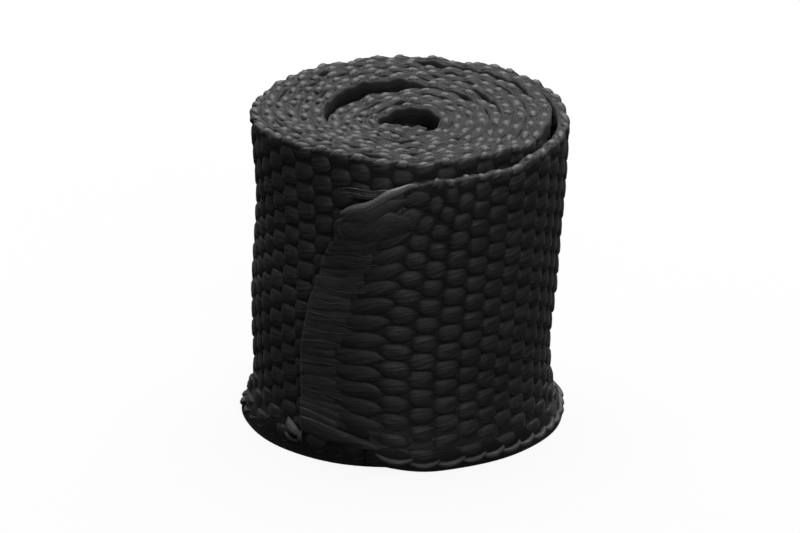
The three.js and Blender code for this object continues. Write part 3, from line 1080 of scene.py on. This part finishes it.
@dataclass
class FrayedEnd:
    """The loose outer end, where the wefts are gone and the warps lie combed into flat fibre bundles."""

    weave: Weave
    rings: int = 17
    sides: int = 10
    end_shares: tuple[float, ...] = (0.0, 0.14, 0.3, 0.46, 0.61, 0.77, 0.89, 1.0)
    end_lengths: tuple[float, ...] = (1.9, 0.4, 0.7, 0.6, -0.9, -2.3, -1.6, 0.6)
    strands: int = 34
    corner_strands: int = 16

    def build(self, shop: Workshop) -> None:
        """Makes the combed ribbons, the thick locks over them and the thin loose strands."""
        skin = Skin()
        self._ribbons(skin)
        shop.place(skin, "frayed_ribbons", Finish.FRAYED)
        skin, bright = Skin(), Skin()
        for lock in LOCKS:
            # Bundles of tone 1 go into the rolled piece, whose lighter material is a painted highlight.
            self._lock(bright if lock.tone >= 1.0 else skin, lock)
        self._strands(skin)
        shop.place(skin, "loose_locks", Finish.FRAYED)
        shop.place(bright, "rolled_locks_highlight", Finish.ROLLED_HIGHLIGHT)

    def _cut_edge(self, share: Array) -> Array:
        """How far round the cut end lies at a share of the width, with the slant of the whole end."""
        shape = self.weave.shape
        slant = math.radians(shape.end_slant) * shape.outer_radius * smooth(share, shape.slant_share, 1.0)
        return np.interp(share, self.end_shares, self.end_lengths) + slant

    def _ribbons(self, skin: Skin) -> None:
        """Adds the flat bundles of every warp, from the last weft to the cut end."""
        weave, shape = self.weave, self.weave.shape
        rng = np.random.default_rng(41)
        count = weave.warps
        base = weave.warp_share(np.arange(count))[:, None]
        shift = 0.12 * rng.uniform(-1.0, 1.0, (count, 1))
        step = np.linspace(0.0, 1.0, self.rings)
        root = weave.frayed + weave.fray_shift(base) + rng.uniform(2.0, 7.5, (count, 1))
        end = np.interp(base, self.end_shares, self.end_lengths) + rng.uniform(-0.06, 0.06, (count, 1))
        slope = (self._cut_edge(base + 0.01) - self._cut_edge(base - 0.01)) / (0.02 * shape.width)
        along = root + (end - root) * step
        drift = ripple(base * 900.0, (70.0, 160.0, 43.0), 0.45, 5) * smooth(step, 0.2, 0.9)
        wave = step * rng.uniform(2.0, 6.0, (count, 1)) + rng.uniform(0.0, 6.3, (count, 1))
        up = shift + drift + 0.07 * np.sin(wave)
        up = up - 0.7 * smooth(base, 0.9, 1.0) * smooth(step, 0.1, 0.9)
        out = np.interp(step, (0.0, 0.35, 0.55, 1.0), (-0.25, 0.26, 0.42, 0.3))
        out = out + 0.09 * rng.uniform(-1.0, 1.0, (count, 1)) * np.sin(math.pi * step)
        wide = np.interp(step, (0.0, 0.2, 0.5, 0.8, 1.0), (0.3, 0.8, 1.25, 1.4, 1.3))
        wide = wide * rng.uniform(0.8, 1.15, (count, 1))
        thick = np.interp(step, (0.0, 0.35, 0.8, 1.0), (0.04, 0.3, 0.22, 0.14))
        angle = around(self.sides)
        across = wide[..., None] * np.cos(angle)
        ring_out = out[..., None] + thick[:, None] * np.sin(angle)
        cut = slope[..., None] * across * smooth(step, 0.7, 1.0)[:, None]
        turn = shape.turn_at(along[..., None] + cut)
        rings = shape.point(turn, base[..., None], ring_out, up[..., None] + across)
        # Random tone per ribbon, plus a painted highlight along the cut end.
        light = 0.55 * rng.uniform(0.0, 1.0, (count, 1, 1)) + 0.6 * smooth(step, 0.86, 1.0)[:, None]
        # Painted shade along each ribbon's two edges, in the creases between ribbons.
        unshaded = np.clip(0.95 - 0.5 * np.abs(np.cos(angle)) ** 6, 0.0, 1.0)
        skin.add_tubes(rings, along, 5.0, unshaded, np.clip(light, 0.0, 1.0))

    def _lock(self, skin: Skin, lock: Lock) -> None:
        """Adds one thick bundle, smoothed between its given places.

        Args:
            skin: Takes the bundle.
            lock: Where it lies and how thick it is.
        """
        given, step = np.linspace(0.0, 1.0, len(lock.along)), np.linspace(0.0, 1.0, 33)
        window = np.hanning(9)[1:-1]
        values = []
        for row in (lock.along, lock.height, lock.out, lock.wide, lock.thick):
            plain = np.interp(step, given, row)
            before, after = 2.0 * plain[0] - plain[3:0:-1], 2.0 * plain[-1] - plain[-2:-5:-1]
            values.append(np.convolve([*before, *plain, *after], window / window.sum(), "valid"))
        along, height, out, wide, thick = (row[:, None] for row in values)
        angle = around(14)
        across = np.concatenate([-np.gradient(height, axis=0), np.gradient(along, axis=0)], 1)
        across = across / np.linalg.norm(across, axis=1, keepdims=True)
        uneven = 1.0 + 0.1 * np.sin(5.0 * angle + 6.0 * step[:, None])
        flat = wide * np.cos(angle) * uneven
        ring_out = out + thick * np.sin(angle) * uneven
        rings = self._placed(along + flat * across[:, :1], height + flat * across[:, 1:], ring_out)[None]
        lengths = np.hypot(np.diff(along[:, 0]), np.diff(height[:, 0]))
        run = np.concatenate([[0.0], np.cumsum(lengths)])[None]
        skin.add_tubes(rings, run, 6.0, 0.95, lock.tone)

    def _strands(self, skin: Skin) -> None:
        """Adds the thin loose strands that splay from the upper corner and lie about on the ribbons."""
        rng = np.random.default_rng(43)
        count = self.strands
        upper = np.arange(count) < self.corner_strands

        def draw(at_corner: tuple[float, float], below: tuple[float, float]) -> Array:
            """Chance values from one range at the upper corner and from another below it."""
            return np.where(upper, rng.uniform(*at_corner, count), rng.uniform(*below, count))[:, None]

        root_along, root_height = draw((6.5, 11.0), (6.0, 10.0)), draw((46.2, 47.2), (8.0, 37.0))
        tip_along = draw((-1.2, 3.0), (-0.5, 2.0))
        high, sunk = rng.uniform(45.6, 47.4, (count, 1)), rng.uniform(-1.0, 0.6, (count, 1))
        tip_height = np.where(upper[:, None], high, root_height + sunk)
        step = np.linspace(0.0, 1.0, 13)
        bow = rng.uniform(-0.3, 0.5, (count, 1)) * np.sin(math.pi * step)
        along = root_along + (tip_along - root_along) * step
        height = root_height + (tip_height - root_height) * step + bow
        out = 0.55 + rng.uniform(0.1, 0.55, (count, 1)) * np.sin(0.9 * math.pi * step) ** 0.7
        taper = np.interp(step, (0.0, 0.1, 0.7, 1.0), (0.5, 1.0, 0.8, 0.25))
        size = rng.uniform(0.07, 0.15, (count, 1)) * taper
        angle, size = around(5), size[..., None]
        ring_height = height[..., None] + size * np.cos(angle)
        ring_out = out[..., None] + size * np.sin(angle)
        rings = self._placed(along[..., None], ring_height, ring_out)
        skin.add_tubes(rings, along[:, ::-1], 1.0, 1.0, rng.uniform(0.5, 1.0, (count, 1, 1)))

    def _placed(self, along: Array, height: Array, out: Array) -> Array:
        """Points by length along the tape, height above the floor and distance out."""
        shape = self.weave.shape
        turn = shape.turn_at(along)
        low, high = shape.low(turn), shape.high(turn)
        return shape.point(turn, (height - low) / (high - low), out)


@dataclass
class HeatWrap:
    """The whole roll."""

    shape: RollShape = field(default_factory=RollShape)

    def build(self, shop: Workshop) -> None:
        """Makes every piece of the tape."""
        weave = Weave(self.shape)
        outer = OuterWrap(weave)
        outer.build(shop)
        InnerTurns(weave, outer.last_column).build(shop)
        WeftBody(weave).build(shop)
        UpperLoops(weave).build(shop)
        LowerChain(weave).build(shop)
        FrayedEnd(weave).build(shop)


@dataclass(frozen=True)
class Studio:
    """Pale floor, soft light from above and behind, and the photograph's viewpoint."""

    distance: float = 0.75
    elevation: float = 20.98
    lens: float = 208.06
    target: Place = (-0.0006, 0.00054, 0.02469)
    room: float = 0.14
    floor_half: float = 3.0

    def build(self) -> None:
        """Makes the floor, the lights, the surroundings and the camera."""
        self._floor()
        self._surroundings()
        self._lamp("top_softbox", (0.02, 0.3, 0.72), (0.0, 0.0, 0.05), 0.8, 9.4)
        self._lamp("front_fill", (0.16, -0.8, 0.42), (0.0, 0.0, 0.02), 0.6, 1.95)
        self._camera()

    def _floor(self) -> None:
        """Makes the floor, which throws no light back on the dark cloth."""
        mesh = bpy.data.meshes.new("floor")
        corners = ((-1.0, -1.0), (1.0, -1.0), (1.0, 1.0), (-1.0, 1.0))
        points = [(x * self.floor_half, y * self.floor_half, 0.0) for x, y in corners]
        mesh.from_pydata(points, [], [(0, 1, 2, 3)])
        mesh.materials.append(FloorFinish().material())
        floor = bpy.data.objects.new("floor", mesh)
        bpy.context.scene.collection.objects.link(floor)

    def _surroundings(self) -> None:
        """White behind the object, and a dim grey room for the light."""
        world = bpy.data.worlds.new("studio_room")
        bpy.context.scene.world = world
        world.use_nodes = True
        nodes = Nodes(world.node_tree)
        camera = nodes.add("LightPath").outputs["Is Camera Ray"]
        tint = nodes.blend(camera, (self.room,) * 3, (1.0, 1.0, 1.0))
        back = nodes.add("Background", Strength=1.0, Color=tint)
        nodes.add("OutputWorld", Surface=back.outputs[0])
        bpy.context.scene.view_settings.view_transform = "Standard"

    def _lamp(self, name: str, place: Place, target: Place, size: float, power: float) -> None:
        """Adds a square soft light.

        Args:
            name: The light's name.
            place: Where it hangs, in metres.
            target: Where it points.
            size: Its side, in metres.
            power: Its power, in watts.
        """
        data = bpy.data.lights.new(name, "AREA")
        data.size = size
        data.energy = power
        lamp = bpy.data.objects.new(name, data)
        lamp.location = place
        lamp.rotation_euler = self._towards(place, target)
        bpy.context.scene.collection.objects.link(lamp)

    def _camera(self) -> None:
        """Adds the camera at the photograph's angle."""
        rise = math.radians(self.elevation)
        x, y, z = self.target
        place = (x, y - self.distance * math.cos(rise), z + self.distance * math.sin(rise))
        data = bpy.data.cameras.new("photo_view")
        data.lens = self.lens
        data.sensor_width = 36.0
        data.clip_start = 0.01
        camera = bpy.data.objects.new("photo_view", data)
        camera.location = place
        camera.rotation_euler = self._towards(place, self.target)
        bpy.context.scene.collection.objects.link(camera)
        bpy.context.scene.camera = camera

    @staticmethod
    def _towards(place: Place, target: Place) -> Place:
        """Rotation that points an object's -Z from a place to a target."""
        dx, dy, dz = (b - a for a, b in zip(place, target))
        flat = math.hypot(dx, dy)
        return (math.atan2(flat, -dz), 0.0, math.atan2(-dx, dy) if flat > 1e-9 else 0.0)


def main() -> None:
    """Builds the roll and the studio."""
    logging.basicConfig(level=logging.INFO, format="%(name)s: %(message)s")
    Studio().build()
    shop = Workshop()
    HeatWrap().build(shop)


if __name__ == "__main__":
    main()
